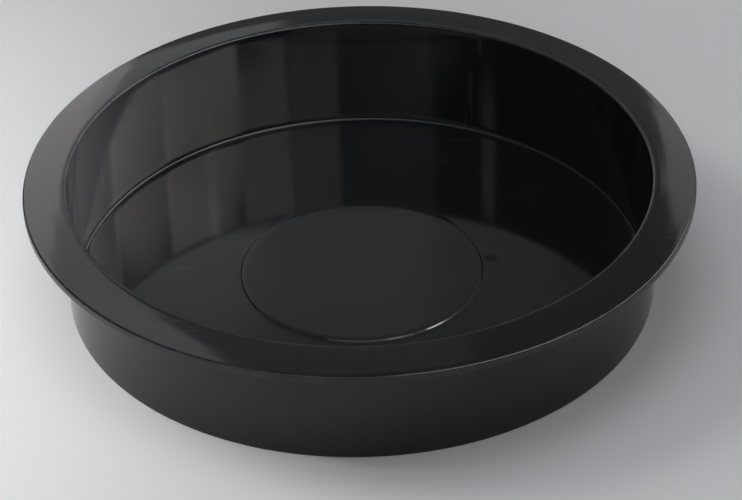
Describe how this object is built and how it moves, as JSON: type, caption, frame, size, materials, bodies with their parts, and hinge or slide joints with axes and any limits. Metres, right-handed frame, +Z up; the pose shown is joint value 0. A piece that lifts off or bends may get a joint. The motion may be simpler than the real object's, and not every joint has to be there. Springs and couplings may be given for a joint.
{
  "type": "mortar mixing tub",
  "caption": "Shallow round one-piece tub with a flat floor, upright walls and a wide, gently sloping flange, for mixing mortar, plaster or concrete by hand.",
  "frame": {"origin": "centre of the resting face, on the tub's axis", "axes": "+Z up along the tub's axis; the gate mark in the floor lies 7 degrees anticlockwise from +X"},
  "size_m": [0.6, 0.6, 0.115],
  "materials": {
    "tub_plastic": "glossy black moulded polyethylene, lightly scuffed"
  },
  "bodies": {
    "root": {"tub": "tub_plastic"}
  },
  "joints": []
}
